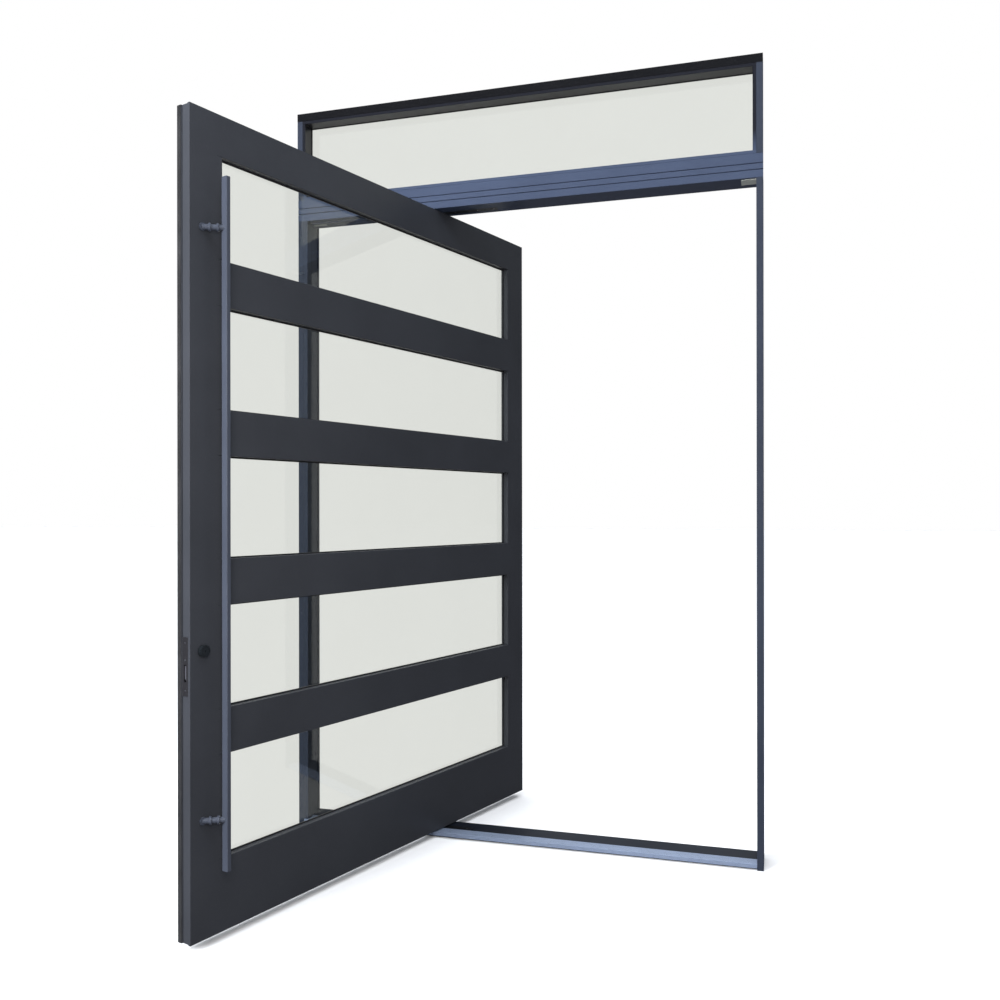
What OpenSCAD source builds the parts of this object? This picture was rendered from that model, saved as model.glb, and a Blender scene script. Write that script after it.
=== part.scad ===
// Glazed aluminium pivot door in its own frame, with a fixed light above the door.
// Millimetres, +Z up. The origin is the middle of the sill's underside.
// +X runs towards the lock jamb, and the leaf's lock side opens towards -Y.

/* [Frame] */
// Width over both jambs
frame_w = 1900; // [1600:10:2200]
// Height from the floor to the top of the frame
frame_h = 3000; // [2800:10:3400]
// Depth of the door frame, front to back
frame_d = 140; // [130:5:180]
// Depth of the frame around the fixed light
light_d = 80; // [78:1:110]
// Thickness of each jamb
jamb_t = 24; // [24:1:36]
// Wall of the hollow frame profiles
frame_wall = 3; // [2:0.5:4]
// Height from the floor to the underside of the door head
clear_h = 2545; // [2300:5:2600]
// Height of the door head profile
door_head_h = 28; // [24:1:40]
// Height of the coupling profile between door head and transom rail
coupling_h = 26; // [20:1:40]
// Height of the rail under the fixed light
transom_rail_h = 35; // [30:1:60]
// Height of the top profile
frame_head_h = 33; // [28:1:60]
// Depth of the shadow gap beside the coupling profile
shadow_gap_d = 6; // [3:1:10]
// Width of each shadow gap beside the coupling profile
shadow_gap_w = 3; // [2:0.5:5]
// Radius of the holes for the wall fixings
fixing_hole_r = 5; // [3.5:0.5:6]
// Width of the groove in the jambs that hides the wall fixings
fixing_groove_w = 15; // [12:1:20]
// Depth of that groove
fixing_groove_d = 6; // [4:1:9]
// Distance from the groove to the back of the frame
fixing_groove_in = 9; // [6:1:20]

/* [Stops] */
// How far the heel stop stands out of the heel jamb
heel_stop_w = 18.5; // [14:0.5:30]
// Height of the stop under the door head
head_stop_h = 8; // [7:0.5:16]
// Depth of the stop under the door head
head_stop_d = 8; // [6:1:24]
// Gap from the leaf's face to the stops, filled by the seal
stop_gap = 5; // [3:0.5:8]
// Distance from the closed leaf to the rear edge of the door head's underside
head_step_in = 9; // [6:1:25]
// Rise of the door head's underside behind that edge
head_step_h = 14; // [8:1:16]
// Distance from the pivot to the end of the head stop
stop_clear = 90; // [75:1:140]
// Clearance left between a seal and the closed leaf
seal_clear = 0.5; // [0.3:0.1:1]

/* [Sill] */
// Height of the sill
sill_h = 23; // [18:1:40]
// Depth of the bright tread on top of the sill
tread_w = 52; // [30:1:52]
// Thickness of the bright tread
tread_t = 2.5; // [1.5:0.5:4]
// Height of the tread's front leg
tread_leg = 15; // [8:1:17]
// Height of the set-back foot of the sill
sill_foot_h = 8; // [5:1:13]
// Set-back of the foot of the sill
sill_foot_in = 15; // [5:1:25]

/* [Leaf] */
// Thickness of the leaf
leaf_t = 58; // [50:1:70]
// Angle by which the leaf stands open
open_angle = 107.3; // [90:0.1:115]
// Distance from the leaf's heel edge to the pivot axis
pivot_from_heel = 582; // [450:1:700]
// Gap between the leaf and each jamb
side_gap = 9; // [6:0.5:11]
// Gap between the leaf and the door head
top_gap = 5; // [4:0.5:8]
// Gap between the leaf and the sill
bottom_gap = 6; // [5:0.5:10]
// Width of each stile, bead included
stile_w = 121; // [105:1:160]
// Height of the top rail, bead included
top_rail_h = 128; // [110:1:180]
// Height of each mid rail, beads included
mid_rail_h = 142; // [110:1:170]
// Height of the bottom rail, bead included
bottom_rail_h = 227; // [160:1:300]
// Wall of the hollow leaf profiles
leaf_wall = 3; // [2:0.5:4]
// Depth of the hardware groove in the stile edges
edge_groove_d = 3; // [2:0.5:4]
// Width of the hardware groove in the stile edges
edge_groove_w = 28; // [24:1:34]
// Width of the ridge between the hardware groove and the beaded face
edge_ridge_w = 9; // [6:1:12]
// Thickness of the seals along the leaf's edges
edge_seal_t = 2.5; // [2:0.5:4]
// Size of the small chamfer on profile corners
edge_chamfer = 0.8; // [0.4:0.1:1.5]

/* [Glazing] */
// Thickness of the glass
glass_t = 10; // [6:1:14]
// Height of the glazing beads of the leaf
bead_h = 20; // [18:1:26]
// Thickness of the glazing beads of the leaf
bead_d = 22; // [14:1:24]
// Bevel of the glazing beads along the sight line
bead_bevel = 1.2; // [0.5:0.1:2]
// Wall of the glazing beads
bead_wall = 2; // [1.5:0.5:3]
// Thickness of the gaskets on both faces of the glass
gasket_t = 4; // [2:0.5:5]
// How far a gasket shows past the bead
gasket_show = 4.5; // [1:0.5:6]
// How far a gasket lies under the bead
gasket_under = 8; // [4:1:12]
// Height of the fixed glazing lip behind the glass
lip_h = 9; // [7:0.5:12]
// Slope of the lip's back, measured across the opening
lip_slope = 16; // [12:1:20]
// How far the glass reaches under the beads
glass_cover = 16; // [12:1:18]
// Length of a setting block
block_len = 100; // [50:10:150]
// Height of the beads of the fixed light
transom_bead_h = 12; // [9:1:16]
// Depth from the frame's front to the glass of the fixed light
transom_recess = 61; // [30:1:66]
// Height of the rear lip around the fixed light
transom_lip_h = 7; // [5:0.5:9]
// How far a gasket of the fixed light shows past its bead
transom_gasket_show = 2; // [1:0.5:3]
// Joint between a vertical bead and a horizontal one
bead_joint = 0.2; // [0.1:0.1:0.5]
// Gap around the glass of the fixed light
transom_edge_gap = 2; // [1.5:0.5:4]

/* [Handle] */
// Length of the pull bar
bar_len = 2100; // [1200:10:2200]
// Width of the pull bar, along the leaf
bar_w = 16; // [12:1:30]
// Depth of the pull bar, off the leaf
bar_d = 24; // [16:1:36]
// Distance from the lock edge to the feet of the posts
post_backset = 45; // [38:1:50]
// Offset of the bar from the feet, sideways and outwards alike
post_offset = 49; // [44:1:70]
// Distance from each end of the bar to its post
post_inset = 155; // [80:5:400]
// Diameter of the posts
post_dia = 18; // [14:1:22]
// Diameter of the collars turned on the posts
collar_dia = 26; // [22:1:30]
// Thickness of those collars
collar_t = 6; // [4:1:8]
// Diameter of the bolts that hold the posts
handle_bolt_dia = 8; // [6:1:10]

/* [Lock] */
// Height of the lock cylinder above the floor
cylinder_z = 902; // [850:1:1100]
// Distance from the lock edge to the cylinder's centre
cylinder_backset = 45; // [38:1:50]
// Diameter of the cylinder
cylinder_dia = 29; // [26:0.5:32]
// Diameter of the cylinder's collar
cylinder_collar_dia = 36; // [34:1:42]
// Height of the cylinder's collar
cylinder_collar_h = 15; // [6:1:18]
// Diameter of the turning plug
plug_dia = 12.5; // [11:0.5:14]
// Radial clearance of turning parts in their bores
turn_clear = 0.05; // [0.02:0.01:0.1]
// Height of the lock faceplate
faceplate_h = 176; // [150:1:220]
// Thickness of the lock faceplate
faceplate_t = 3; // [2:0.5:4]
// Drop from the cylinder to the middle of the faceplate
faceplate_drop = 44; // [30:1:60]
// Thickness of the lock case
case_t = 16; // [14:1:20]
// Depth of the lock case behind the faceplate
case_d = 64; // [60:1:70]
// Height of the lock case
case_h = 128; // [126:1:132]
// Drop from the cylinder to the pivot of the swing bolt
bolt_drop = 79; // [70:1:90]
// Distance from the lock edge to the pivot of the swing bolt
bolt_backset = 12; // [12:1:16]
// Reach of the swing bolt from its pivot
bolt_reach = 38; // [34:1:40]
// Width of the swing bolt
bolt_w = 20; // [16:1:21]
// Thickness of the swing bolt
bolt_t = 8; // [6:0.5:9]
// Clearance of the swing bolt in its slots
bolt_clear = 1; // [0.5:0.1:1.5]

/* [Pivots] */
// Diameter of the pivot pins
pivot_dia = 20; // [16:1:24]
// Length of the top pin below the door head
top_pin_len = 38; // [30:1:45]
// Length of the bottom spindle above the sill
spindle_len = 42; // [30:1:60]
// Width of the pivot plates
pivot_plate_w = 34; // [28:1:44]
// Thickness of the pivot plates
pivot_plate_t = 3; // [2:0.5:3]
// Length of the pivot plates
pivot_plate_len = 270; // [160:10:320]
// Side of the light pads at the corners of the door head
pad_w = 55; // [40:1:80]

/* [Hidden] */
$fn = 48;

// Colours
charcoal = [0.16, 0.17, 0.19];
slate = [0.24, 0.27, 0.33];
bright = [0.74, 0.78, 0.88];
steel = [0.62, 0.63, 0.65];
black = [0.05, 0.05, 0.06];
glass_tint = [0.86, 0.88, 0.85, 0.4];
pad_white = [0.82, 0.83, 0.82];
handle_grey = [0.36, 0.38, 0.42];

// A cut or hole runs this far past the surface that it opens
over = 1;

// Frame levels and inner faces
half_w = frame_w / 2;
inner_x = half_w - jamb_t;
front_y = -frame_d / 2;
back_y = frame_d / 2;
light_back_y = front_y + light_d;
door_head_top = clear_h + door_head_h;
coupling_top = door_head_top + coupling_h;
transom_rail_top = coupling_top + transom_rail_h;
light_top = frame_h - frame_head_h;

// Cleats of the rail joints
cleat_l = 40;
cleat_h = 40;

// Leaf size, in the leaf's own frame: X from the pivot to the lock edge, Y to the beaded face
leaf_w = 2 * inner_x - 2 * side_gap;
leaf_z0 = sill_h + bottom_gap;
leaf_z1 = clear_h - top_gap;
leaf_h = leaf_z1 - leaf_z0;
heel_x = -pivot_from_heel;
lock_x = leaf_w - pivot_from_heel;
pivot_x = -inner_x + side_gap + pivot_from_heel;
half_t = leaf_t / 2;

// Edge at which the door head's underside steps up, and the level it steps to
head_step_y = half_t + head_step_in;
head_step_z = clear_h + head_step_h;

// Glazing planes across the leaf's thickness, from the beaded face backwards
bead_back = half_t - bead_d;
glass_front = bead_back - gasket_t;
glass_back = glass_front - glass_t;
lip_front = glass_back - gasket_t;

// Depth at which the sloping back of the lip meets the line of the rebate
lip_foot_y = -half_t + (lip_slope - lip_h) * (lip_front + half_t) / lip_slope;

// Panes, from the bottom of the leaf upwards
pane_n = 5;
pane_h = (leaf_h - top_rail_h - bottom_rail_h - (pane_n - 1) * mid_rail_h) / pane_n;
pane_x0 = heel_x + stile_w;
pane_x1 = lock_x - stile_w;
body_x0 = heel_x + stile_w - bead_h;
body_x1 = lock_x - stile_w + bead_h;
function pane_z(i) = leaf_z0 + bottom_rail_h + i * (pane_h + mid_rail_h);

// Hardware groove in the stile edges
groove_y1 = half_t - edge_ridge_w;
groove_y0 = groove_y1 - edge_groove_w;
groove_mid = (groove_y0 + groove_y1) / 2;

// Seals of the stops
heel_seal_w = 8;
stop_seal_in = 1;

// Leaf seals
edge_seal_inset = 2;
edge_seal_y0 = -half_t + edge_seal_inset;
edge_seal_y1 = groove_y0 - edge_seal_inset;
brush_w = 5;
brush_root = 5;
brush_clear = 1;

// How far the rear gaskets show past their lips
lip_gasket_show = 1;

// Fixed light
light_glass_y0 = front_y + transom_recess;
light_glass_y1 = light_glass_y0 + glass_t;
transom_sight_x = inner_x - transom_bead_h;
transom_sight_z0 = transom_rail_top + transom_bead_h;
transom_sight_z1 = light_top - transom_bead_h;
rear_bead_y0 = light_glass_y1 + gasket_t;

// Wall fixings
jamb_web_y = -15;
groove_back_y = back_y - fixing_groove_in;
fixing_y = groove_back_y - fixing_groove_w / 2;
fixing_low_z = 200;
fixing_pitch = 950;
fixing_high_z = clear_h - 45;
fixing_levels = [fixing_low_z, fixing_low_z + fixing_pitch, fixing_high_z - fixing_pitch,
    fixing_high_z];

// Screws
frame_screw_r = 2.5;
frame_screw_len = 45;
frame_screw_head_r = 5;
frame_screw_head_t = 1.8;
screw_clear = 0.2;
frame_screw_y = [-35, 20];
light_screw_y = [-50, -2];
frame_screw_x = half_w - jamb_t / 2;
plate_screw_r = 2;
plate_screw_head_r = 4;
plate_screw_head_t = 1.5;
plate_screw_len = 12;

// Lock
cyl_x = lock_x - cylinder_backset;
face_x = lock_x - edge_groove_d;
faceplate_z = cylinder_z - faceplate_drop;
bolt_x = lock_x - bolt_backset;
bolt_z = cylinder_z - bolt_drop;
bolt_root_r = bolt_w / 2;
bolt_sweep_r = norm([bolt_reach, bolt_root_r]);
slot_z0 = bolt_z - bolt_root_r - bolt_clear;
slot_z1 = bolt_z + bolt_sweep_r + bolt_clear;
slot_w = bolt_t + 2 * bolt_clear;
case_wall = 1.5;
bolt_pin_r = 4;
bolt_chamfer = 2;
faceplate_screw_in = 16.5;
faceplate_screw_levels = [faceplate_z - faceplate_h / 2 + faceplate_screw_in,
    faceplate_z + faceplate_h / 2 - faceplate_screw_in];
strike_h = 110;
strike_w = 28;
strike_t = 2.5;
strike_box_d = 21;
strike_z = (slot_z0 + slot_z1) / 2;
strike_screw_in = 12;
plug_front_gap = 1.5;
collar_step = 2;
keyway_w = 2;
keyway_h = 8;
keyway_d = 6;

// Pivots
pin_root = 18;
socket_l = 70;
socket_w = 40;
socket_h = 46;
shoe_h = 60;
end_gap = 0.3;
pad_t = 1.5;
top_plate_x0 = pivot_x - 22;
bottom_plate_x0 = pivot_x - pivot_plate_len / 2;
top_plate_screw_x = [68, 162, 232];
bottom_plate_screw_in = 20;
pin_flange_dia = pivot_dia + 12;
pin_flange_t = 6;
pad_back_y = 5;

// Handle
handle_mid_z = (leaf_z0 + leaf_z1) / 2;
post_zs = [handle_mid_z - bar_len / 2 + post_inset, handle_mid_z + bar_len / 2 - post_inset];
foot_x = lock_x - post_backset;
bar_x = foot_x - post_offset;
bar_y = half_t + post_offset;
foot_h = 5;
foot_dia = 24;
collar_at = [19, 43];
bar_chamfer = 2;
bolt_head_r = 7;
bolt_head_t = 5;
bolt_in_foot = 4;

// A rectangle between two corners with chamfered corners
module chamfered(x0, y0, x1, y1, c = edge_chamfer) {
    polygon([[x0 + c, y0], [x1 - c, y0], [x1, y0 + c], [x1, y1 - c],
        [x1 - c, y1], [x0 + c, y1], [x0, y1 - c], [x0, y0 + c]]);
}

// A plain rectangle between two corners
module rect(x0, y0, x1, y1) {
    translate([x0, y0]) square([x1 - x0, y1 - y0]);
}

// A block between two corners
module block(p0, p1) {
    translate(p0) cube(p1 - p0);
}

// Extrudes a section drawn in (Y, Z) from x0 to x1
module along_x(x0, x1) {
    translate([x0, 0, 0]) rotate([90, 0, 90]) linear_extrude(x1 - x0) children();
}

// Extrudes a section drawn in (X, Y) from z0 to z1
module along_z(z0, z1) {
    translate([0, 0, z0]) linear_extrude(z1 - z0) children();
}

// A round bar along +X from x0 to x1
module rod_x(r, x0, x1) {
    translate([x0, 0, 0]) rotate([0, 90, 0]) cylinder(h = x1 - x0, r = r);
}

// A round bar along +Y from y0 to y1
module rod_y(r, y0, y1) {
    translate([0, y0, 0]) rotate([-90, 0, 0]) cylinder(h = y1 - y0, r = r);
}

// Places the leaf's own frame in the door frame, standing open
module in_leaf() {
    translate([pivot_x, 0, 0]) rotate([0, 0, -open_angle]) children();
}

// ---- Frame ----

// Jamb section, with X from the outer face inwards
module jamb_section() {
    w = frame_wall;
    difference() {
        chamfered(0, front_y, jamb_t, back_y);
        rect(w, front_y + w, jamb_t - w, jamb_web_y);
        rect(w, jamb_web_y + w, jamb_t - w, groove_back_y - fixing_groove_w - w);
        rect(w, groove_back_y - fixing_groove_w, jamb_t - fixing_groove_d - w, groove_back_y);
        rect(jamb_t - fixing_groove_d, groove_back_y - fixing_groove_w, jamb_t + over, groove_back_y);
    }
}

// Holes for the wall fixings and for the screws that hold the sill
module jamb_holes() {
    for (z = fixing_levels)
        translate([0, fixing_y, z]) rod_x(fixing_hole_r, -over, jamb_t + over);
    for (y = frame_screw_y)
        translate([0, y, sill_h / 2]) {
            rod_x(frame_screw_r + screw_clear, -over, jamb_t + over);
            rod_x(frame_screw_head_r + screw_clear, -over, frame_screw_head_t);
        }
}

// A jamb, taller at the rear to reach the raised part of the door head's underside
module jamb() {
    difference() {
        along_z(0, head_step_z) jamb_section();
        block([-over, front_y - over, clear_h], [jamb_t + over, head_step_y, head_step_z + over]);
        jamb_holes();
    }
}

module left_jamb() {
    color(charcoal) translate([-half_w, 0, 0]) jamb();
}

module right_jamb() {
    color(charcoal) difference() {
        translate([half_w, 0, 0]) mirror([1, 0, 0]) jamb();
        block([inner_x - over, groove_mid - strike_w / 2, strike_z - strike_h / 2],
            [inner_x + strike_t, groove_mid + strike_w / 2, strike_z + strike_h / 2]);
        block([inner_x - over, groove_mid - slot_w / 2 - case_wall, slot_z0 - case_wall],
            [inner_x + frame_wall + over, groove_mid + slot_w / 2 + case_wall, slot_z1 + case_wall]);
        for (s = [-1, 1]) translate([0, groove_mid, strike_z + s * (strike_h / 2 - strike_screw_in)])
            rod_x(plate_screw_r + screw_clear, inner_x - over, half_w - 2 * frame_wall);
    }
}

// Two hollow upright pieces beside the fixed light
module light_jambs() {
    w = frame_wall;
    color(charcoal) for (side = [0, 1]) mirror([side, 0, 0]) translate([-half_w, 0, 0])
        along_z(transom_rail_top, light_top) difference() {
            chamfered(0, front_y, jamb_t, light_back_y);
            rect(w, front_y + w, jamb_t - w, jamb_web_y);
            rect(w, jamb_web_y + w, jamb_t - w, light_back_y - w);
        }
}

// Hollow section of a cross member beside the fixed light, drawn in (Y, Z)
module member_section(z0, z1) {
    w = frame_wall;
    difference() {
        chamfered(front_y, z0, light_back_y, z1);
        rect(front_y + w, z0 + w, jamb_web_y, z1 - w);
        rect(jamb_web_y + w, z0 + w, light_back_y - w, z1 - w);
    }
}

// Puts a copy on both ends of the frame, over the middle of each jamb
module at_corners(ys) {
    for (side = [-1, 1], y = ys) translate([side * frame_screw_x, y, 0]) children();
}

// Hole of a corner screw that goes down from a level; mirrored, it goes up
module screw_hole() {
    translate([0, 0, -frame_screw_len]) cylinder(h = frame_screw_len + over, r = frame_screw_r + screw_clear);
    translate([0, 0, -frame_screw_head_t]) cylinder(h = frame_screw_head_t + over,
        r = frame_screw_head_r + screw_clear);
}

module frame_head() {
    color(charcoal) difference() {
        along_x(-half_w, half_w) member_section(light_top, frame_h);
        at_corners(light_screw_y) translate([0, 0, frame_h]) screw_hole();
    }
}

module transom_rail() {
    color(slate) difference() {
        along_x(-half_w, half_w) member_section(coupling_top, transom_rail_top);
        at_corners(light_screw_y) translate([0, 0, coupling_top]) mirror([0, 0, 1]) screw_hole();
    }
}

module coupling_profile() {
    w = frame_wall;
    g = shadow_gap_d;
    color(slate) along_x(-half_w, half_w) difference() {
        rect(front_y, door_head_top, light_back_y, coupling_top);
        for (y = [front_y - over, light_back_y - g])
            for (z = [door_head_top - over, coupling_top - shadow_gap_w])
                rect(y, z, y + g + over, z + shadow_gap_w + over);
        rect(front_y + g + w, door_head_top + w, light_back_y - g - w, coupling_top - w);
    }
}

module door_head() {
    w = frame_wall + pivot_plate_t;
    c = edge_chamfer;
    top = door_head_top;
    color(slate) difference() {
        along_x(-half_w, half_w) difference() {
            polygon([[front_y + c, clear_h], [head_step_y, clear_h], [head_step_y, head_step_z],
                [back_y, head_step_z], [back_y, top - c], [back_y - c, top], [front_y + c, top],
                [front_y, top - c], [front_y, clear_h + c]]);
            rect(front_y + frame_wall, clear_h + w, head_step_y - frame_wall, top - frame_wall);
            rect(head_step_y, head_step_z + frame_wall, back_y - frame_wall, top - frame_wall);
        }
        block([top_plate_x0, -pivot_plate_w / 2, clear_h - over],
            [top_plate_x0 + pivot_plate_len, pivot_plate_w / 2, clear_h + pivot_plate_t]);
        translate([pivot_x, 0, clear_h - over]) cylinder(h = w + 2 * over, d = pivot_dia);
        for (x = top_plate_screws()) translate([x, 0, clear_h])
            cylinder(h = w + over, r = plate_screw_r + screw_clear);
        at_corners(frame_screw_y) translate([0, 0, door_head_top]) screw_hole();
    }
}

module sill_section() {
    w = frame_wall;
    tread_y = front_y + tread_w;
    difference() {
        polygon([[front_y + sill_foot_in, 0], [back_y, 0], [back_y, sill_h], [tread_y, sill_h],
            [tread_y, sill_h - tread_t], [front_y + tread_t, sill_h - tread_t],
            [front_y + tread_t, sill_foot_h], [front_y + sill_foot_in, sill_foot_h]]);
        rect(front_y + sill_foot_in + w, w, -w, sill_h - tread_t - w);
        rect(0, w, back_y - w, sill_h - w - pivot_plate_t);
    }
}

module sill_profile() {
    color(charcoal) difference() {
        along_x(-inner_x, inner_x) sill_section();
        block([bottom_plate_x0, -pivot_plate_w / 2, sill_h - pivot_plate_t],
            [bottom_plate_x0 + pivot_plate_len, pivot_plate_w / 2, sill_h + over]);
        translate([pivot_x, 0, frame_wall]) cylinder(h = sill_h, d = pivot_dia);
        for (x = bottom_plate_screws()) translate([x, 0, sill_h - plate_screw_len - over])
            cylinder(h = plate_screw_len + 2 * over, r = plate_screw_r + screw_clear);
    }
}

module sill_tread() {
    color(bright) along_x(-inner_x, inner_x)
        polygon([[front_y, sill_h - tread_leg], [front_y + tread_t, sill_h - tread_leg],
            [front_y + tread_t, sill_h - tread_t], [front_y + tread_w, sill_h - tread_t],
            [front_y + tread_w, sill_h], [front_y + edge_chamfer, sill_h],
            [front_y, sill_h - edge_chamfer]]);
}

// ---- Fixed light ----

module transom_glass() {
    g = transom_edge_gap;
    color(glass_tint) block([-inner_x + g, light_glass_y0, transom_rail_top + g],
        [inner_x - g, light_glass_y1, light_top - g]);
}

// Four beads that stand on the frame between two depths
module transom_beads(y0, y1) {
    for (z = [transom_rail_top, transom_sight_z1])
        along_x(-inner_x, inner_x) difference() {
            chamfered(y0, z, y1, z + transom_bead_h);
            rect(y0 + bead_wall, z + bead_wall, y1 - bead_wall, z + transom_bead_h - bead_wall);
        }
    for (x = [-inner_x, transom_sight_x])
        along_z(transom_sight_z0 + bead_joint, transom_sight_z1 - bead_joint) difference() {
            chamfered(x, y0, x + transom_bead_h, y1);
            rect(x + bead_wall, y0 + bead_wall, x + transom_bead_h - bead_wall, y1 - bead_wall);
        }
}

module transom_beads_front() {
    color(slate) transom_beads(front_y, light_glass_y0 - gasket_t);
}

module transom_beads_rear() {
    h = transom_lip_h;
    color(slate) {
        for (z = [transom_rail_top, light_top - h])
            along_x(-inner_x, inner_x) chamfered(rear_bead_y0, z, light_back_y, z + h);
        for (x = [-inner_x, inner_x - h])
            along_z(transom_rail_top + h + bead_joint, light_top - h - bead_joint)
                chamfered(x, rear_bead_y0, x + h, light_back_y);
    }
}

// A ring in the (X, Z) plane between two depths, around a sight opening
module gasket_ring(x0, z0, x1, z1, y0, y1, outer, inner) {
    difference() {
        block([x0 - outer, y0, z0 - outer], [x1 + outer, y1, z1 + outer]);
        block([x0 + inner, y0 - over, z0 + inner], [x1 - inner, y1 + over, z1 - inner]);
    }
}

module transom_gaskets() {
    u = transom_bead_h - transom_edge_gap;
    behind = transom_lip_h - transom_bead_h + lip_gasket_show;
    color(black) for (g = [[light_glass_y0 - gasket_t, transom_gasket_show], [light_glass_y1, behind]])
        gasket_ring(-transom_sight_x, transom_sight_z0, transom_sight_x, transom_sight_z1,
            g[0], g[0] + gasket_t, u, g[1]);
}

module transom_setting_blocks() {
    color(black) for (s = [-1, 1])
        translate([s * inner_x / 2 - block_len / 2, light_glass_y0, transom_rail_top])
            cube([block_len, glass_t, transom_edge_gap]);
}

// ---- Stops and seals of the frame ----

module heel_stop() {
    w = frame_wall;
    color(charcoal) along_z(sill_h, clear_h) difference() {
        chamfered(-inner_x, front_y, -inner_x + heel_stop_w, -half_t - stop_gap);
        rect(-inner_x + w, front_y + w, -inner_x + heel_stop_w - w, -half_t - stop_gap - w);
    }
}

module head_stop() {
    w = frame_wall / 2;
    y0 = -half_t - stop_gap - head_stop_d;
    color(charcoal) along_x(-inner_x + heel_stop_w, pivot_x - stop_clear) difference() {
        chamfered(y0, clear_h - head_stop_h, y0 + head_stop_d, clear_h);
        rect(y0 + w, clear_h - head_stop_h + w, y0 + head_stop_d - w, clear_h - w);
    }
}

module stop_seals() {
    t = stop_gap - seal_clear;
    y_front = -half_t - stop_gap;
    heel_x1 = -inner_x + heel_stop_w - stop_seal_in;
    head_z0 = clear_h - head_stop_h + stop_seal_in;
    head_z1 = clear_h - pad_t - seal_clear;
    color(black) {
        along_z(sill_h, clear_h) chamfered(heel_x1 - heel_seal_w, y_front, heel_x1, y_front + t);
        along_x(-inner_x + heel_stop_w, pivot_x - stop_clear)
            chamfered(y_front, head_z0, y_front + t, head_z1);
    }
}

module head_corner_pads() {
    heel_pad_x = -inner_x + heel_stop_w;
    color(pad_white) {
        block([heel_pad_x, -half_t - stop_gap, clear_h - pad_t], [heel_pad_x + pad_w, pad_back_y, clear_h]);
        block([inner_x - pad_w, -pad_w, clear_h - pad_t], [inner_x, 0, clear_h]);
    }
}

// ---- Keeper of the lock ----

module strike_plate() {
    color(steel) difference() {
        block([inner_x, groove_mid - strike_w / 2, strike_z - strike_h / 2],
            [inner_x + strike_t, groove_mid + strike_w / 2, strike_z + strike_h / 2]);
        block([inner_x - over, groove_mid - slot_w / 2, slot_z0],
            [inner_x + strike_t + over, groove_mid + slot_w / 2, slot_z1]);
        for (s = [-1, 1]) translate([0, groove_mid, strike_z + s * (strike_h / 2 - strike_screw_in)]) {
            rod_x(plate_screw_r + screw_clear, inner_x - over, inner_x + strike_t + over);
            rod_x(plate_screw_head_r + screw_clear, inner_x - over, inner_x + plate_screw_head_t);
        }
    }
}

module strike_box() {
    w = case_wall;
    color(black) difference() {
        block([inner_x + strike_t, groove_mid - slot_w / 2 - w, slot_z0 - w],
            [inner_x + strike_box_d, groove_mid + slot_w / 2 + w, slot_z1 + w]);
        block([inner_x, groove_mid - slot_w / 2, slot_z0],
            [inner_x + strike_box_d - w, groove_mid + slot_w / 2, slot_z1]);
    }
}

// ---- Pivots, frame side ----

function top_plate_screws() = [for (x = top_plate_screw_x) pivot_x + x];
function bottom_plate_screws() = [for (s = [-1, 1])
    pivot_x + s * (pivot_plate_len / 2 - bottom_plate_screw_in)];

module pivot_plate(x0, z0, z1, screws, z_head) {
    color(steel) difference() {
        block([x0, -pivot_plate_w / 2, z0], [x0 + pivot_plate_len, pivot_plate_w / 2, z1]);
        translate([pivot_x, 0, z0 - over]) cylinder(h = z1 - z0 + 2 * over, d = pivot_dia);
        for (x = screws) translate([x, 0, z0 - over]) {
            cylinder(h = z1 - z0 + 2 * over, r = plate_screw_r + screw_clear);
            translate([0, 0, z_head - z0 + over]) cylinder(h = plate_screw_head_t + over,
                r = plate_screw_head_r + screw_clear);
        }
    }
}

module top_pivot_plate() {
    pivot_plate(top_plate_x0, clear_h, clear_h + pivot_plate_t, top_plate_screws(), clear_h - over);
}

module bottom_pivot_plate() {
    pivot_plate(bottom_plate_x0, sill_h - pivot_plate_t, sill_h, bottom_plate_screws(),
        sill_h - plate_screw_head_t);
}

module top_pivot_pin() {
    color(steel) translate([pivot_x, 0, clear_h - top_pin_len]) {
        cylinder(h = top_pin_len + pin_root, d = pivot_dia);
        translate([0, 0, top_pin_len + frame_wall + pivot_plate_t])
            cylinder(h = pin_flange_t, d = pin_flange_dia);
    }
}

module bottom_pivot_spindle() {
    color(steel) translate([pivot_x, 0, frame_wall])
        cylinder(h = sill_h - frame_wall + spindle_len, d = pivot_dia);
}

// ---- Screws of the frame ----

module frame_screw() {
    translate([0, 0, -frame_screw_len]) cylinder(h = frame_screw_len, r = frame_screw_r);
    translate([0, 0, -frame_screw_head_t]) cylinder(h = frame_screw_head_t, r = frame_screw_head_r);
}

module frame_screws() {
    color(steel) {
        for (side = [0, 1], y = frame_screw_y) mirror([side, 0, 0])
            translate([-half_w, y, sill_h / 2]) rotate([0, -90, 0]) frame_screw();
        at_corners(frame_screw_y) translate([0, 0, door_head_top]) frame_screw();
        at_corners(light_screw_y) translate([0, 0, coupling_top]) mirror([0, 0, 1]) frame_screw();
        at_corners(light_screw_y) translate([0, 0, frame_h]) frame_screw();
    }
}

module plate_screw() {
    cylinder(h = plate_screw_len, r = plate_screw_r);
    cylinder(h = plate_screw_head_t, r = plate_screw_head_r);
}

module plate_screws() {
    color(steel) {
        for (x = top_plate_screws()) translate([x, 0, clear_h]) plate_screw();
        for (x = bottom_plate_screws()) translate([x, 0, sill_h]) mirror([0, 0, 1]) plate_screw();
        for (s = [-1, 1]) translate([inner_x, groove_mid, strike_z + s * (strike_h / 2 - strike_screw_in)])
            rotate([0, 90, 0]) plate_screw();
    }
}

// ---- Leaf frame ----

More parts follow.
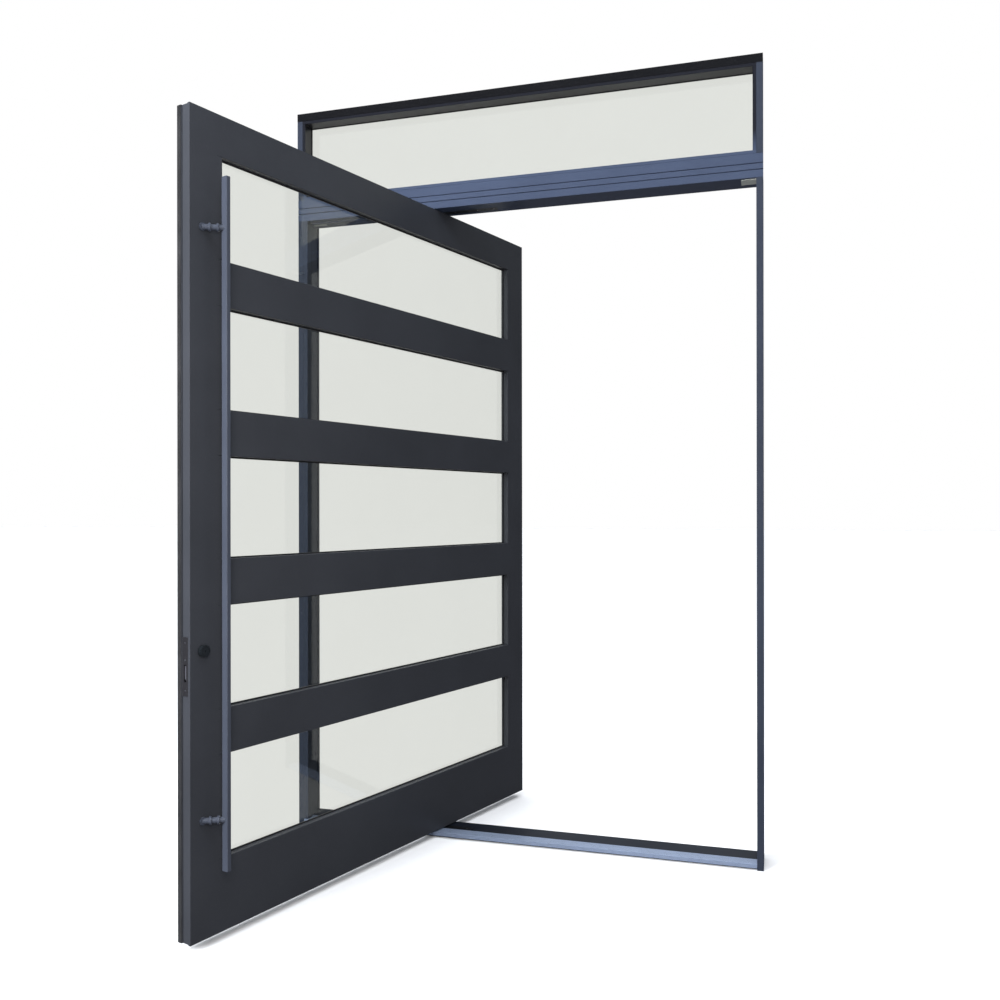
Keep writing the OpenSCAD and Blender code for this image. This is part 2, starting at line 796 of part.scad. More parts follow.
// Stile section, with X from the outer edge inwards and Y across the leaf's thickness
module stile_section() {
    w = leaf_wall;
    c = edge_chamfer;
    body = stile_w - bead_h;
    back = body + lip_h - lip_slope;
    difference() {
        polygon([[c, -half_t], [back, -half_t], [body + lip_h, lip_front], [body, lip_front],
            [body, half_t], [c, half_t], [0, half_t - c], [0, -half_t + c]]);
        polygon([[edge_groove_d + w, -half_t + w], [back - w, -half_t + w], [body - w, lip_foot_y],
            [body - w, half_t - w], [edge_groove_d + w, half_t - w]]);
        rect(-over, groove_y0, edge_groove_d, groove_y1);
    }
}

module lock_stile() {
    face_depth = leaf_wall + 2 * over;
    color(charcoal) in_leaf() difference() {
        translate([lock_x, 0, 0]) mirror([1, 0, 0]) along_z(leaf_z0, leaf_z1) stile_section();
        // pocket of the lock case in the hardware groove
        block([face_x - leaf_wall - over, groove_mid - case_t / 2, faceplate_z - case_h / 2],
            [face_x + over, groove_mid + case_t / 2, faceplate_z + case_h / 2]);
        // hole of the cylinder in the beaded face
        translate([cyl_x, 0, cylinder_z]) rod_y(cylinder_dia / 2, half_t - face_depth, half_t + over);
        // holes of the handle bolts
        for (z = post_zs) translate([foot_x, 0, z])
            rod_y(handle_bolt_dia / 2 + screw_clear, half_t - face_depth, half_t + over);
        for (z = faceplate_screw_levels) translate([0, groove_mid, z])
            rod_x(plate_screw_r + screw_clear, face_x - plate_screw_len, face_x + over);
    }
}

module pivot_stile() {
    color(charcoal) in_leaf() translate([heel_x, 0, 0]) along_z(leaf_z0, leaf_z1) stile_section();
}

// Half of a rail section, with X across the thickness and Y from the rail's middle to its glazed edge
module rail_half(h) {
    body = h - bead_h;
    back = body + lip_h - lip_slope;
    polygon([[-half_t, 0], [half_t, 0], [half_t, body], [lip_front, body],
        [lip_front, body + lip_h], [-half_t, back]]);
}

// Hollow of the same half
module rail_half_hollow(h) {
    w = leaf_wall;
    body = h - bead_h;
    back = body + lip_h - lip_slope;
    polygon([[-half_t + w, 0], [half_t - w, 0], [half_t - w, body - w], [lip_foot_y, body - w],
        [-half_t + w, back - w]]);
}

// The glazing lip of a stile, standing up from the line of its rebate, along the whole height
module stile_lip() {
    along_z(leaf_z0 - over, leaf_z1 + over)
        polygon([[0, lip_foot_y], [lip_h, lip_front], [0, lip_front]]);
}

// A rail glazed above and below, its ends coped over the lips of the stiles
module mid_rail(i) {
    mid = pane_z(i) - mid_rail_h / 2;
    color(charcoal) in_leaf() difference() {
        along_x(body_x0, body_x1) translate([0, mid]) for (up = [0, 1]) mirror([0, up])
            difference() {
                rail_half(mid_rail_h / 2);
                rail_half_hollow(mid_rail_h / 2);
            }
        rail_copes();
    }
}

// Removes the room of the stile lips from the ends of a rail
module rail_copes() {
    translate([body_x0, 0, 0]) stile_lip();
    translate([body_x1, 0, 0]) mirror([1, 0, 0]) stile_lip();
}

// An outer rail, glazed on one edge and with a brush groove in the other
module outer_rail(h) {
    w = leaf_wall;
    difference() {
        rail_half(h);
        intersection() {
            rail_half_hollow(h);
            rect(-half_t, brush_root + w, half_t, h);
        }
        rect(-brush_w / 2, -over, brush_w / 2, brush_root);
    }
}

module top_rail() {
    color(charcoal) in_leaf() difference() {
        along_x(body_x0, body_x1) translate([0, leaf_z1]) mirror([0, 1]) outer_rail(top_rail_h);
        rail_copes();
        block([-socket_l / 2, -socket_w / 2, leaf_z1 - brush_root - leaf_wall - over],
            [socket_l / 2, socket_w / 2, leaf_z1 + over]);
    }
}

module bottom_rail() {
    color(charcoal) in_leaf() difference() {
        along_x(body_x0, body_x1) translate([0, leaf_z0]) outer_rail(bottom_rail_h);
        rail_copes();
        block([-socket_l / 2, -socket_w / 2, leaf_z0 - over],
            [socket_l / 2, socket_w / 2, leaf_z0 + brush_root + leaf_wall + over]);
    }
}

// Solid cleats inside the rails that the stiles are screwed to
module rail_cleats() {
    t = half_t - leaf_wall;
    levels = concat([leaf_z0 + bottom_rail_h / 2], [for (i = [1:pane_n - 1]) pane_z(i) - mid_rail_h / 2],
        [leaf_z1 - (top_rail_h - bead_h) / 2]);
    color(steel) in_leaf() for (z = levels, x = [body_x0, body_x1 - cleat_l])
        block([x, lip_front, z - cleat_h / 2], [x + cleat_l, t, z + cleat_h / 2]);
}

// ---- Leaf glazing ----

module glass_pane(i) {
    c = glass_cover;
    z = pane_z(i);
    color(glass_tint) in_leaf()
        block([pane_x0 - c, glass_back, z - c], [pane_x1 + c, glass_front, z + pane_h + c]);
}

// Section of a leaf bead, with X from the rebate to the sight line and Y across the leaf's thickness
module bead_section() {
    w = bead_wall;
    difference() {
        polygon([[0, bead_back], [bead_h, bead_back], [bead_h, half_t - bead_bevel],
            [bead_h - bead_bevel, half_t], [0, half_t]]);
        rect(w, bead_back + w, bead_h - w, half_t - w);
    }
}

module leaf_beads_horizontal() {
    color(charcoal) in_leaf() for (i = [0:pane_n - 1], up = [0, 1])
        along_x(body_x0, body_x1)
            translate([0, up ? pane_z(i) + pane_h + bead_h : pane_z(i) - bead_h])
                mirror([0, up]) mirror([1, -1]) bead_section();
}

module leaf_beads_vertical() {
    color(charcoal) in_leaf() for (i = [0:pane_n - 1], far = [0, 1])
        along_z(pane_z(i) + bead_joint, pane_z(i) + pane_h - bead_joint)
            translate([far ? body_x1 : body_x0, 0]) mirror([far, 0]) bead_section();
}

module leaf_gaskets(y0, outer, inner) {
    color(black) in_leaf() for (i = [0:pane_n - 1])
        gasket_ring(pane_x0, pane_z(i), pane_x1, pane_z(i) + pane_h, y0, y0 + gasket_t, outer, inner);
}

module bead_side_gaskets() {
    leaf_gaskets(glass_front, gasket_under, gasket_show);
}

module lip_side_gaskets() {
    leaf_gaskets(lip_front, glass_cover, lip_h - bead_h + lip_gasket_show);
}

module leaf_setting_blocks() {
    quarter = (pane_x1 - pane_x0) / 4;
    color(black) in_leaf() for (i = [0:pane_n - 1], s = [-1, 1])
        translate([(pane_x0 + pane_x1) / 2 + s * quarter - block_len / 2, glass_back, pane_z(i) - bead_h])
            cube([block_len, glass_t, bead_h - glass_cover]);
}

// ---- Leaf seals ----

module edge_seals() {
    color(black) in_leaf() along_z(leaf_z0, leaf_z1) {
        chamfered(lock_x, edge_seal_y0, lock_x + edge_seal_t, edge_seal_y1);
        chamfered(heel_x - edge_seal_t, edge_seal_y0, heel_x, edge_seal_y1);
    }
}

module rail_brush_seals() {
    gap = socket_l / 2;
    spans = [[body_x0, -gap], [gap, body_x1]];
    color(black) in_leaf() for (s = spans) {
        block([s[0], -brush_w / 2, leaf_z1 - brush_root],
            [s[1], brush_w / 2, leaf_z1 + top_gap - brush_clear]);
        block([s[0], -brush_w / 2, leaf_z0 - bottom_gap + brush_clear],
            [s[1], brush_w / 2, leaf_z0 + brush_root]);
    }
}

// ---- Pull handle ----

module handle_bar() {
    color(handle_grey) in_leaf() along_z(handle_mid_z - bar_len / 2, handle_mid_z + bar_len / 2)
        chamfered(bar_x - bar_w / 2, bar_y - bar_d / 2, bar_x + bar_w / 2, bar_y + bar_d / 2, bar_chamfer);
}

// One post: a foot on the leaf and a slanted rod with two collars up to the bar
module handle_post() {
    reach = post_offset * sqrt(2);
    difference() {
        union() {
            rod_y(foot_dia / 2, 0, foot_h);
            rotate([0, 0, 45]) {
                rod_y(post_dia / 2, 0, reach);
                for (y = collar_at) rod_y(collar_dia / 2, y, y + collar_t);
            }
        }
        block([-bar_len, -foot_dia, -foot_dia], [bar_len, 0, foot_dia]);
        block([-post_offset - bar_w / 2, post_offset - bar_d / 2, -foot_dia],
            [-post_offset + bar_w / 2, post_offset + bar_d, foot_dia]);
        rod_y(handle_bolt_dia / 2 + screw_clear / 2, -over, bolt_in_foot);
    }
}

module handle_posts() {
    color(handle_grey) in_leaf() for (z = post_zs) translate([foot_x, half_t, z]) handle_post();
}

module handle_bolts() {
    color(steel) in_leaf() for (z = post_zs) translate([foot_x, 0, z]) {
        rod_y(handle_bolt_dia / 2, half_t - leaf_wall - bolt_head_t, half_t + bolt_in_foot);
        rod_y(bolt_head_r, half_t - leaf_wall - bolt_head_t, half_t - leaf_wall);
    }
}

// ---- Lock ----

module lock_case() {
    w = case_wall;
    x0 = face_x - case_d;
    y0 = groove_mid - case_t / 2;
    y1 = groove_mid + case_t / 2;
    z0 = faceplate_z - case_h / 2;
    z1 = faceplate_z + case_h / 2;
    color(steel) in_leaf() {
        difference() {
            block([x0, y0, z0], [face_x, y1, z1]);
            block([x0 + w, y0 + w, z0 + w], [face_x - w, y1 - w, z1 - w]);
            translate([cyl_x, 0, cylinder_z]) rod_y(cylinder_dia / 2, y0 - over, y1 + over);
            block([face_x - w - over, groove_mid - slot_w / 2, slot_z0],
                [face_x + over, groove_mid + slot_w / 2, slot_z1]);
        }
        // pin of the swing bolt
        translate([bolt_x, 0, bolt_z]) rod_y(bolt_pin_r, y0 + w, y1 - w);
    }
}

module lock_faceplate() {
    color(charcoal) in_leaf() difference() {
        block([face_x, groove_y0, faceplate_z - faceplate_h / 2],
            [face_x + faceplate_t, groove_y1, faceplate_z + faceplate_h / 2]);
        block([face_x - over, groove_mid - slot_w / 2, slot_z0],
            [lock_x + over, groove_mid + slot_w / 2, slot_z1]);
        for (z = faceplate_screw_levels) translate([0, groove_mid, z]) {
            rod_x(plate_screw_r + screw_clear, face_x - over, lock_x + over);
            rod_x(plate_screw_head_r + screw_clear, face_x + faceplate_t - plate_screw_head_t,
                lock_x + over);
        }
    }
}

module faceplate_screws() {
    color(steel) in_leaf() for (z = faceplate_screw_levels)
        translate([face_x + faceplate_t, groove_mid, z]) rotate([0, -90, 0]) plate_screw();
}

module swing_bolt() {
    r = bolt_root_r;
    color(steel) in_leaf() translate([bolt_x, groove_mid, bolt_z]) difference() {
        translate([0, bolt_t / 2, 0]) rotate([90, 0, 0]) linear_extrude(bolt_t) union() {
            circle(r);
            chamfered(-r, 0, r, bolt_reach, bolt_chamfer);
        }
        rod_y(bolt_pin_r + turn_clear, -bolt_t, bolt_t);
    }
}

module cylinder_body() {
    y0 = groove_mid - case_t / 2;
    y1 = half_t + cylinder_collar_h - plug_front_gap;
    color(steel) in_leaf() translate([cyl_x, 0, cylinder_z]) difference() {
        rod_y(cylinder_dia / 2, y0, y1);
        rod_y(plug_dia / 2 + turn_clear, y0 + over, y1 + over);
    }
}

module cylinder_collar() {
    color(charcoal) in_leaf() translate([cyl_x, 0, cylinder_z]) difference() {
        union() {
            rod_y(cylinder_collar_dia / 2, half_t, half_t + cylinder_collar_h - collar_step);
            rod_y(cylinder_collar_dia / 2 - collar_step, half_t, half_t + cylinder_collar_h);
        }
        rod_y(cylinder_dia / 2, half_t - over, half_t + cylinder_collar_h + over);
    }
}

module cylinder_plug() {
    y0 = groove_mid - case_t / 2 + over + end_gap;
    y1 = half_t + cylinder_collar_h - plug_front_gap;
    color(steel) in_leaf() translate([cyl_x, 0, cylinder_z]) difference() {
        rod_y(plug_dia / 2, y0, y1);
        block([-keyway_w / 2, y1 - keyway_d, -keyway_h / 2], [keyway_w / 2, y1 + over, keyway_h / 2]);
    }
}

// ---- Pivots, leaf side ----

module top_pivot_socket() {
    color(steel) in_leaf() difference() {
        block([-socket_l / 2, -socket_w / 2, leaf_z1 - socket_h], [socket_l / 2, socket_w / 2, leaf_z1]);
        translate([0, 0, clear_h - top_pin_len - end_gap])
            cylinder(h = socket_h, d = pivot_dia + 2 * turn_clear);
    }
}

module bottom_pivot_shoe() {
    color(steel) in_leaf() difference() {
        block([-socket_l / 2, -socket_w / 2, leaf_z0], [socket_l / 2, socket_w / 2, leaf_z0 + shoe_h]);
        translate([0, 0, leaf_z0 - over])
            cylinder(h = sill_h + spindle_len + end_gap - leaf_z0 + over, d = pivot_dia + 2 * turn_clear);
    }
}

left_jamb();
right_jamb();
light_jambs();
frame_head();
transom_rail();
coupling_profile();
door_head();
sill_profile();
sill_tread();
transom_glass();
transom_beads_front();
transom_beads_rear();
transom_gaskets();
transom_setting_blocks();
heel_stop();
head_stop();
stop_seals();
strike_plate();
strike_box();
top_pivot_plate();
top_pivot_pin();
bottom_pivot_plate();
bottom_pivot_spindle();
head_corner_pads();
frame_screws();
plate_screws();
lock_stile();
pivot_stile();
top_rail();
bottom_rail();
mid_rail(1);  // mid_rail_1
mid_rail(2);  // mid_rail_2
mid_rail(3);  // mid_rail_3
mid_rail(4);  // mid_rail_4
glass_pane(0);  // glass_pane_1
glass_pane(1);  // glass_pane_2
glass_pane(2);  // glass_pane_3
glass_pane(3);  // glass_pane_4
glass_pane(4);  // glass_pane_5
leaf_beads_horizontal();
leaf_beads_vertical();
bead_side_gaskets();
lip_side_gaskets();
leaf_setting_blocks();
edge_seals();
rail_brush_seals();
rail_cleats();
handle_bar();
handle_posts();
handle_bolts();
lock_case();
lock_faceplate();
faceplate_screws();
cylinder_body();
cylinder_collar();
cylinder_plug();
swing_bolt();
top_pivot_socket();
bottom_pivot_shoe();
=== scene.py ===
"""A glazed pivot door standing open in its frame, dressed around its packed construction."""

import math

import bmesh
import bpy
from mathutils import Matrix, Vector


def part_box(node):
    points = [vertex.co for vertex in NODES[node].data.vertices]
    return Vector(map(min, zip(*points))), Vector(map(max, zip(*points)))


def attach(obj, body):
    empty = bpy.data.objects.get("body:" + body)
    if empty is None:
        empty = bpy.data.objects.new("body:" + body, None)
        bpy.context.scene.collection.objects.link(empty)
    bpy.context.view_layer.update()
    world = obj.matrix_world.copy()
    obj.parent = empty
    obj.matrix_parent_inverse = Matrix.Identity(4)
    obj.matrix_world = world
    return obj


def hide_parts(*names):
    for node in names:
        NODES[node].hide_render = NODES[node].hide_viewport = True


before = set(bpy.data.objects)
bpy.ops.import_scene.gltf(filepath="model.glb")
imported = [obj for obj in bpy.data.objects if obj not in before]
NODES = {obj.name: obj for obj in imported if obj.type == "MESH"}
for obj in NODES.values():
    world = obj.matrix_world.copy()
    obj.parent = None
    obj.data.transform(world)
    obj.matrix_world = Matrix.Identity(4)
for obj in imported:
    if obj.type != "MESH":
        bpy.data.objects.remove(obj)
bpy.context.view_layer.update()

# The leaf stands open by this angle in the row frame, about the pivot line
OPEN_ANGLE = math.radians(107.3)
PIVOT = Vector((-0.335, 0.0, 0.0))
# Turns a place in the leaf's own frame (along, across, up) into the row frame
LEAF = Matrix.Translation(PIVOT) @ Matrix.Rotation(-OPEN_ANGLE, 4, "Z")
STILL = Matrix.Identity(4)
# Between the bottom seals and sill on one hand, and the top seals and head on the other
MID_LEVEL = 1.0
WELD = 1e-6
SAME_LEVEL = 1e-4


# ---------------------------------------------------------------- node tree helpers

def link(tree, source, target):
    tree.links.new(source, target)


def add(tree, kind, **values):
    """A node of that kind; values are its inputs by name with _ for a blank, or its properties."""
    node = tree.nodes.new(kind)
    for key, value in values.items():
        name = key.replace("_", " ")
        if name in node.inputs:
            if isinstance(value, bpy.types.NodeSocket):
                link(tree, value, node.inputs[name])
            else:
                node.inputs[name].default_value = value
        else:
            setattr(node, key, value)
    return node


def maths(tree, operation, a, b=None, clamp=False):
    node = tree.nodes.new("ShaderNodeMath")
    node.operation = operation
    node.use_clamp = clamp
    for socket, value in zip(node.inputs, (a, b)):
        if value is None:
            continue
        if isinstance(value, bpy.types.NodeSocket):
            link(tree, value, socket)
        else:
            socket.default_value = value
    return node.outputs[0]


def spread(tree, value, low, high, out_low=0.0, out_high=1.0):
    """Maps value from one span to another, held at both ends."""
    node = tree.nodes.new("ShaderNodeMapRange")
    node.clamp = True
    for socket, number in zip(node.inputs[1:5], (low, high, out_low, out_high)):
        if isinstance(number, bpy.types.NodeSocket):
            link(tree, number, socket)
        else:
            socket.default_value = number
    link(tree, value, node.inputs[0])
    return node.outputs[0]


def blend_colours(tree, share, a, b):
    node = tree.nodes.new("ShaderNodeMix")
    node.data_type = "RGBA"
    for socket, value in ((node.inputs[0], share), (node.inputs[6], a), (node.inputs[7], b)):
        if isinstance(value, bpy.types.NodeSocket):
            link(tree, value, socket)
        else:
            socket.default_value = value
    return node.outputs[2]


def new_group(name, inputs, outputs):
    """An empty node group with named sockets: inputs as (name, kind, default), outputs as (name, kind)."""
    group = bpy.data.node_groups.new(name, "ShaderNodeTree")
    for label, kind, default in inputs:
        socket = group.interface.new_socket(label, in_out="INPUT", socket_type=kind)
        if default is not None:
            socket.default_value = default
    for label, kind in outputs:
        group.interface.new_socket(label, in_out="OUTPUT", socket_type=kind)
    return group, group.nodes.new("NodeGroupInput"), group.nodes.new("NodeGroupOutput")


FLOAT, VECTOR, WHOLE = "NodeSocketFloat", "NodeSocketVector", "NodeSocketInt"
MATERIAL_SOCKET = "NodeSocketMaterial"


def powder_grain_group():
    """The fine orange-peel skin of a baked coating, with broad uneven film and faint dust."""
    group, put, out = new_group(
        "powder_grain",
        [("Vector", VECTOR, None), ("Grain", FLOAT, 1400.0), ("Film", FLOAT, 3.0), ("Dust", FLOAT, 0.5)],
        [("Height", FLOAT), ("Speckle", FLOAT), ("Film", FLOAT), ("Dust", FLOAT)])
    grain = add(group, "ShaderNodeTexNoise", Vector=put.outputs["Vector"],
                Scale=put.outputs["Grain"], Detail=3.0, Roughness=0.6)
    peel = add(group, "ShaderNodeTexNoise", Vector=put.outputs["Vector"], Scale=260.0, Detail=2.0)
    film = add(group, "ShaderNodeTexNoise", Vector=put.outputs["Vector"],
               Scale=put.outputs["Film"], Detail=4.0, Roughness=0.55)
    motes = add(group, "ShaderNodeTexNoise", Vector=put.outputs["Vector"], Scale=520.0, Detail=1.0)
    height = maths(group, "ADD", maths(group, "MULTIPLY", grain.outputs[0], 0.6),
                   maths(group, "MULTIPLY", peel.outputs[0], 0.8))
    dust = maths(group, "MULTIPLY", spread(group, motes.outputs[0], 0.66, 0.72), put.outputs["Dust"])
    link(group, height, out.inputs["Height"])
    link(group, spread(group, grain.outputs[0], 0.35, 0.65), out.inputs["Speckle"])
    link(group, spread(group, film.outputs[0], 0.3, 0.7), out.inputs["Film"])
    link(group, dust, out.inputs["Dust"])
    return group


def drawn_lines_group():
    """Fine lines left along one direction by drawing or brushing the metal."""
    group, put, out = new_group(
        "drawn_lines",
        [("Vector", VECTOR, None), ("Stretch", VECTOR, (1.0, 60.0, 60.0)), ("Scale", FLOAT, 30.0)],
        [("Height", FLOAT), ("Tone", FLOAT)])
    mapping = add(group, "ShaderNodeMapping", Vector=put.outputs["Vector"], Scale=put.outputs["Stretch"])
    lines = add(group, "ShaderNodeTexNoise", Vector=mapping.outputs[0], Scale=put.outputs["Scale"],
                Detail=5.0, Roughness=0.7)
    link(group, lines.outputs[0], out.inputs["Height"])
    link(group, spread(group, lines.outputs[0], 0.3, 0.7), out.inputs["Tone"])
    return group


POWDER_GRAIN = powder_grain_group()
DRAWN_LINES = drawn_lines_group()


def place_group(tree, group, **values):
    node = tree.nodes.new("ShaderNodeGroup")
    node.node_tree = group
    for key, value in values.items():
        if isinstance(value, bpy.types.NodeSocket):
            link(tree, value, node.inputs[key])
        else:
            node.inputs[key].default_value = value
    return node


def new_material(name):
    material = bpy.data.materials.new(name)
    material.use_nodes = True
    tree = material.node_tree
    shader = tree.nodes["Principled BSDF"]
    coordinates = tree.nodes.new("ShaderNodeTexCoord")
    return material, tree, shader, coordinates.outputs["Object"]


def pick_shader(tree, share, a, b):
    """Shader a where the share is 0 and shader b where it is 1."""
    node = tree.nodes.new("ShaderNodeMixShader")
    for socket, value in zip(node.inputs, (share, a, b)):
        link(tree, value, socket)
    return node.outputs[0]


def shade(value, factor):
    return tuple(c * factor for c in value[:3]) + (1.0,)


# ---------------------------------------------------------------- materials

def coated_metal(name, colour, roughness=0.42, grain=1400.0, film=3.0, dust=0.5, bump=0.00006,
                 specular=0.35, lighten=1.35):
    """Powder-coated profile: a fine skin, a film that varies a little, and a few motes of dust."""
    material, tree, shader, where = new_material(name)
    skin = place_group(tree, POWDER_GRAIN, Vector=where, Grain=grain, Film=film, Dust=dust)
    base = blend_colours(tree, skin.outputs["Film"], shade(colour, 0.86), shade(colour, 1.14))
    speckled = blend_colours(tree, maths(tree, "MULTIPLY", skin.outputs["Speckle"], 0.45),
                             base, shade(colour, lighten))
    dusty = blend_colours(tree, maths(tree, "MULTIPLY", skin.outputs["Dust"], 0.12),
                          speckled, (0.35, 0.35, 0.36, 1.0))
    link(tree, dusty, shader.inputs["Base Color"])
    rough = spread(tree, skin.outputs["Film"], 0.0, 1.0, roughness - 0.05, roughness + 0.06)
    link(tree, maths(tree, "ADD", rough, maths(tree, "MULTIPLY", skin.outputs["Dust"], 0.1)),
         shader.inputs["Roughness"])
    relief = add(tree, "ShaderNodeBump", Strength=0.5, Distance=bump, Height=skin.outputs["Height"])
    link(tree, relief.outputs[0], shader.inputs["Normal"])
    shader.inputs["Specular IOR Level"].default_value = specular
    return material


def darker_above(material, level, colour, blend=0.04):
    """Turns a coated metal to another colour above a level of the frame, as painted shade."""
    tree = material.node_tree
    shader = tree.nodes["Principled BSDF"]
    where = tree.nodes["Texture Coordinate"].outputs["Object"]
    height = add(tree, "ShaderNodeSeparateXYZ", Vector=where).outputs["Z"]
    share = spread(tree, height, level - blend, level + blend)
    coat = shader.inputs["Base Color"].links[0].from_socket
    link(tree, blend_colours(tree, share, coat, colour), shader.inputs["Base Color"])
    return material


def drawn_metal(name, colour, along=(1.0, 60.0, 60.0), roughness=0.3, scale=30.0, tone=0.18,
                metallic=1.0):
    """Bare or anodised metal with fine lines along its length; the tread's blue tint is a painted
    reflection.
    """
    material, tree, shader, where = new_material(name)
    lines = place_group(tree, DRAWN_LINES, Vector=where, Stretch=along, Scale=scale)
    base = blend_colours(tree, lines.outputs["Tone"], shade(colour, 1 - tone), shade(colour, 1 + tone / 2))
    link(tree, base, shader.inputs["Base Color"])
    link(tree, spread(tree, lines.outputs["Tone"], 0.0, 1.0, roughness - 0.06, roughness + 0.1),
         shader.inputs["Roughness"])
    relief = add(tree, "ShaderNodeBump", Strength=0.35, Distance=0.00004, Height=lines.outputs["Height"])
    link(tree, relief.outputs[0], shader.inputs["Normal"])
    shader.inputs["Metallic"].default_value = metallic
    return material


def moulded_rubber(name, colour, roughness=0.62, sheen=0.12):
    """Extruded rubber: matte, faintly ribbed along its length, with a little bloom."""
    material, tree, shader, where = new_material(name)
    ribs = place_group(tree, DRAWN_LINES, Vector=where, Stretch=(6.0, 6.0, 0.4), Scale=90.0)
    bloom = add(tree, "ShaderNodeTexNoise", Vector=where, Scale=14.0, Detail=5.0)
    share = maths(tree, "MULTIPLY", spread(tree, bloom.outputs[0], 0.4, 0.75), 0.5)
    link(tree, blend_colours(tree, share, shade(colour, 0.8), shade(colour, 2.1)),
         shader.inputs["Base Color"])
    link(tree, spread(tree, ribs.outputs["Tone"], 0.0, 1.0, roughness - 0.08, roughness + 0.1),
         shader.inputs["Roughness"])
    relief = add(tree, "ShaderNodeBump", Strength=0.4, Distance=0.00008, Height=ribs.outputs["Height"])
    link(tree, relief.outputs[0], shader.inputs["Normal"])
    shader.inputs["Sheen Weight"].default_value = sheen
    shader.inputs["Specular IOR Level"].default_value = 0.3
    return material


def moulded_plastic(name, colour, roughness=0.5):
    material, tree, shader, where = new_material(name)
    skin = place_group(tree, POWDER_GRAIN, Vector=where, Grain=900.0, Film=20.0, Dust=0.3)
    base = blend_colours(tree, skin.outputs["Film"], shade(colour, 0.9), shade(colour, 1.08))
    link(tree, base, shader.inputs["Base Color"])
    link(tree, spread(tree, skin.outputs["Speckle"], 0.0, 1.0, roughness - 0.05, roughness + 0.08),
         shader.inputs["Roughness"])
    relief = add(tree, "ShaderNodeBump", Strength=0.4, Distance=0.00008, Height=skin.outputs["Height"])
    link(tree, relief.outputs[0], shader.inputs["Normal"])
    return material


def float_glass(name, tint):
    """Clear glass with the faint roller wave of a toughened pane; lamps shine through it."""
    material, tree, shader, where = new_material(name)
    mist = add(tree, "ShaderNodeTexNoise", Vector=where, Scale=5.0, Detail=3.0)
    haze = spread(tree, mist.outputs[0], 0.3, 0.7)
    link(tree, blend_colours(tree, haze, shade(tint, 0.99), shade(tint, 1.0)),
         shader.inputs["Base Color"])
    wave = add(tree, "ShaderNodeTexNoise", Vector=where, Scale=2.2, Detail=1.0)
    relief = add(tree, "ShaderNodeBump", Strength=0.08, Distance=0.0006, Height=wave.outputs[0])
    link(tree, relief.outputs[0], shader.inputs["Normal"])
    shader.inputs["Roughness"].default_value = 0.0
    shader.inputs["IOR"].default_value = 1.5
    shader.inputs["Transmission Weight"].default_value = 1.0
    clear = add(tree, "ShaderNodeBsdfTransparent", Color=shade(tint, 1.0))
    path = tree.nodes.new("ShaderNodeLightPath")
    both = pick_shader(tree, path.outputs["Is Shadow Ray"], shader.outputs[0], clear.outputs[0])
    link(tree, both, tree.nodes["Material Output"].inputs["Surface"])
    return material


SLATE = (0.035, 0.047, 0.08)
# Beads of the fixed light are painted dark above this level, as painted shade under the frame head
TOP_BEAD_LEVEL = 2.68
LEAF_COAT = coated_metal("leaf_coat", (0.0305, 0.0325, 0.038), specular=0.28)
# The frame head's coat is painted near-black, far darker than the jambs' coat: painted shade of the head
# seen from below
HEAD_COAT_PAINTED_SHADE = coated_metal("head_coat_painted_shade", (0.0042, 0.0042, 0.005), specular=0.15)
JAMB_COAT = coated_metal("jamb_coat", (0.022, 0.027, 0.04))
SLATE_COAT = coated_metal("slate_coat", SLATE, roughness=0.36)
# The beads' dark colour above the level is painted shade, not a second paint
BEAD_COAT = darker_above(coated_metal("bead_coat", SLATE, roughness=0.36), TOP_BEAD_LEVEL,
                         (0.007, 0.0075, 0.011, 1.0))
HANDLE_COAT = coated_metal("handle_coat", (0.042, 0.048, 0.064), roughness=0.32, grain=1900.0, dust=0.2)
LOCK_COAT = coated_metal("lock_coat", (0.0095, 0.0115, 0.0135), roughness=0.3, grain=1900.0, dust=0.2)
SILL_COAT = coated_metal("sill_coat", (0.0045, 0.006, 0.0105), roughness=0.5, dust=1.0)
PLATE_COAT = coated_metal("faceplate_coat", (0.0125, 0.012, 0.0135), roughness=0.4)
# The tread is aluminium; the blue tint in its colour is a painted reflection of cool daylight
TREAD_METAL = drawn_metal("tread_metal", (0.33, 0.4, 0.55), roughness=0.3, metallic=0.45,
                          tone=0.5)
STEEL = drawn_metal("turned_steel", (0.5, 0.5, 0.52), along=(8.0, 8.0, 8.0), roughness=0.3, scale=60.0)
# The swing bolt is polished steel, made brighter than the other steel as painted light so it reads lit in
# its shaded slot
BOLT_STEEL = drawn_metal("bolt_steel", (0.75, 0.74, 0.78), along=(8.0, 8.0, 2.0), roughness=0.35)
SCREW_STEEL = drawn_metal("screw_steel", (0.45, 0.45, 0.47), along=(8.0, 8.0, 8.0), roughness=0.36)
PLATE_STEEL = drawn_metal("plate_steel", (0.1, 0.1, 0.11), roughness=0.4)
CASE_STEEL = drawn_metal("case_steel", (0.16, 0.16, 0.17), along=(20.0, 20.0, 3.0), roughness=0.45)
CLEAT_METAL = drawn_metal("cleat_metal", (0.45, 0.45, 0.45), along=(20.0, 20.0, 1.0), roughness=0.42)
RUBBER = moulded_rubber("seal_rubber", (0.008, 0.008, 0.009))
EDGE_RUBBER = moulded_rubber("edge_rubber", (0.016, 0.016, 0.017))
BLACK_PLASTIC = moulded_plastic("black_plastic", (0.012, 0.012, 0.013))
PILE = moulded_rubber("brush_pile", (0.01, 0.01, 0.011), roughness=0.85, sheen=0.3)
PAD_PLASTIC = moulded_plastic("pad_plastic", (0.62, 0.64, 0.58))
PANE_GLASS = float_glass("pane_glass", (0.765, 0.78, 0.742))

